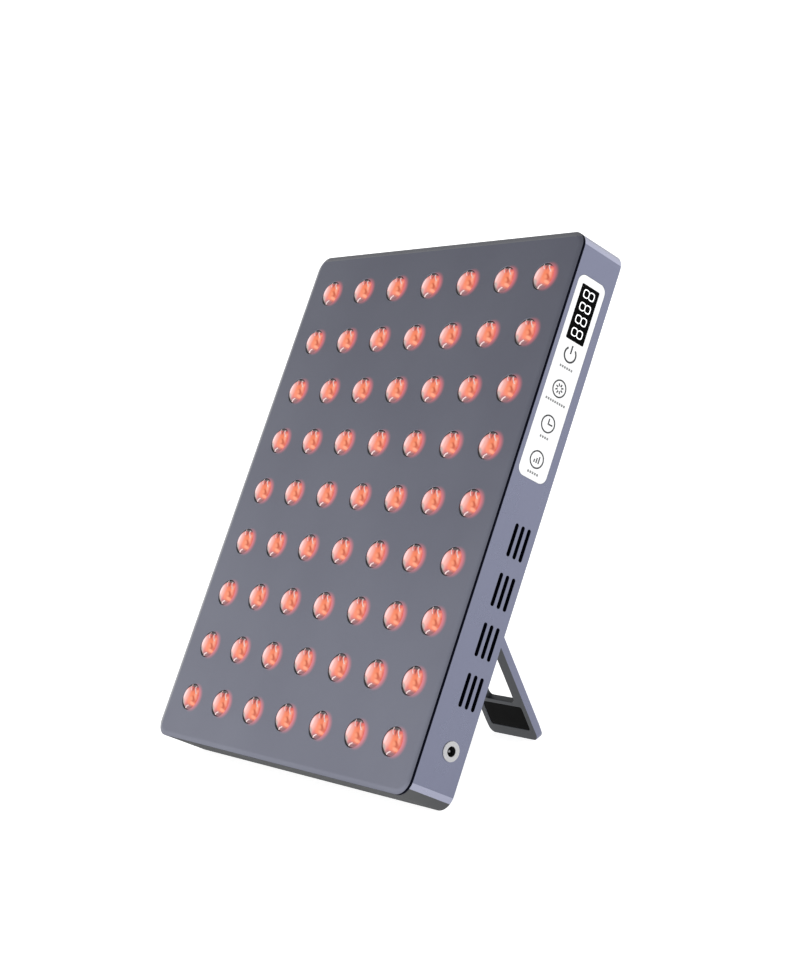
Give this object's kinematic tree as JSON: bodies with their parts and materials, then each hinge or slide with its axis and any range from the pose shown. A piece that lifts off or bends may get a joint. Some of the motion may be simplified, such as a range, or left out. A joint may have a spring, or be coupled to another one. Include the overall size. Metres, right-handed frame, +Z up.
{
  "type": "red light therapy panel",
  "caption": "Tabletop light panel: flat casing with a grid of lens-covered lamps in its front plate, a side control strip with display, side vents and a folding kickstand.",
  "frame": {"origin": "on the floor, at the middle of the footprint of the panel standing on its opened kickstand", "axes": "+Z up, the lamps face -Y and lean back, the controls are on the +X side"},
  "size_m": [0.2455, 0.183, 0.2972],
  "materials": {
    "plate": "satin grey",
    "casing": "satin lilac grey anodised",
    "cover": "fine grained dark grey",
    "foam": "black closed-cell foam",
    "lamp_board": "clear lenses, lit red",
    "aluminium": "bare extruded",
    "pcb": "green solder mask",
    "film": "semi-gloss white film",
    "window": "smoked black, polished",
    "plastic": "black moulded",
    "ring": "light satin",
    "steel": "zinc plated",
    "rubber": "matt black",
    "wire_red": "red insulation",
    "wire_grey": "grey insulation"
  },
  "bodies": {
    "housing": {"front_plate": "plate", "side_frame": "casing", "rear_cover": "cover", "front_gasket": "foam", "led_board": "lamp_board", "heat_sink": "aluminium", "driver_board": "pcb", "control_board": "pcb", "control_overlay": "film", "display_window": "window", "display_module": "plastic", "power_switch": "plastic", "brightness_switch": "plastic", "timer_switch": "plastic", "mode_switch": "plastic", "dc_jack": "plastic", "fan_frame_left": "plastic", "fan_frame_right": "plastic", "jack_ring": "ring", "hinge_pin": "steel", "cover_screw_1": "steel", "cover_screw_2": "steel", "cover_screw_3": "steel", "cover_screw_4": "steel", "cover_screw_5": "steel", "cover_screw_6": "steel", "cover_screw_7": "steel", "cover_screw_8": "steel", "led_board_screw_1": "steel", "led_board_screw_2": "steel", "led_board_screw_3": "steel", "led_board_screw_4": "steel", "led_board_screw_5": "steel", "led_board_screw_6": "steel", "fan_screw_1": "steel", "fan_screw_2": "steel", "fan_screw_3": "steel", "fan_screw_4": "steel", "driver_board_screw_1": "steel", "driver_board_screw_2": "steel", "control_board_screw_1": "steel", "control_board_screw_2": "steel", "power_lead": "wire_red", "fan_lead_left": "wire_red", "fan_lead_right": "wire_red", "control_lead": "wire_grey"},
    "kickstand": {"kickstand": "casing", "stand_pad": "rubber"},
    "power_key": {"power_key": "film"},
    "brightness_key": {"brightness_key": "film"},
    "timer_key": {"timer_key": "film"},
    "mode_key": {"mode_key": "film"},
    "fan_rotor_left": {"fan_rotor_left": "plastic"},
    "fan_rotor_right": {"fan_rotor_right": "plastic"}
  },
  "joints": [
    {"name": "stand_hinge", "type": "hinge", "parent": "housing", "child": "kickstand", "pos_m": [0, 0.01489, 0.16837], "axis": [1, 0, 0], "range_deg": [-49.9, 0]},
    {"name": "power_press", "type": "slide", "parent": "housing", "child": "power_key", "axis": [-1, 0, 0], "range_m": [0, 0.00035], "stiffness_N_per_m": 600, "springref_m": -0.0005},
    {"name": "brightness_press", "type": "slide", "parent": "housing", "child": "brightness_key", "axis": [-1, 0, 0], "range_m": [0, 0.00035], "stiffness_N_per_m": 600, "springref_m": -0.0005},
    {"name": "timer_press", "type": "slide", "parent": "housing", "child": "timer_key", "axis": [-1, 0, 0], "range_m": [0, 0.00035], "stiffness_N_per_m": 600, "springref_m": -0.0005},
    {"name": "mode_press", "type": "slide", "parent": "housing", "child": "mode_key", "axis": [-1, 0, 0], "range_m": [0, 0.00035], "stiffness_N_per_m": 600, "springref_m": -0.0005},
    {"name": "fan_spin_left", "type": "hinge", "parent": "housing", "child": "fan_rotor_left", "pos_m": [-0.06003, 0.02547, 0.20103], "axis": [0, 0.8995, -0.4369], "continuous": true},
    {"name": "fan_spin_right", "type": "hinge", "parent": "housing", "child": "fan_rotor_right", "pos_m": [0.06003, 0.02547, 0.20103], "axis": [0, 0.8995, -0.4369], "continuous": true}
  ]
}
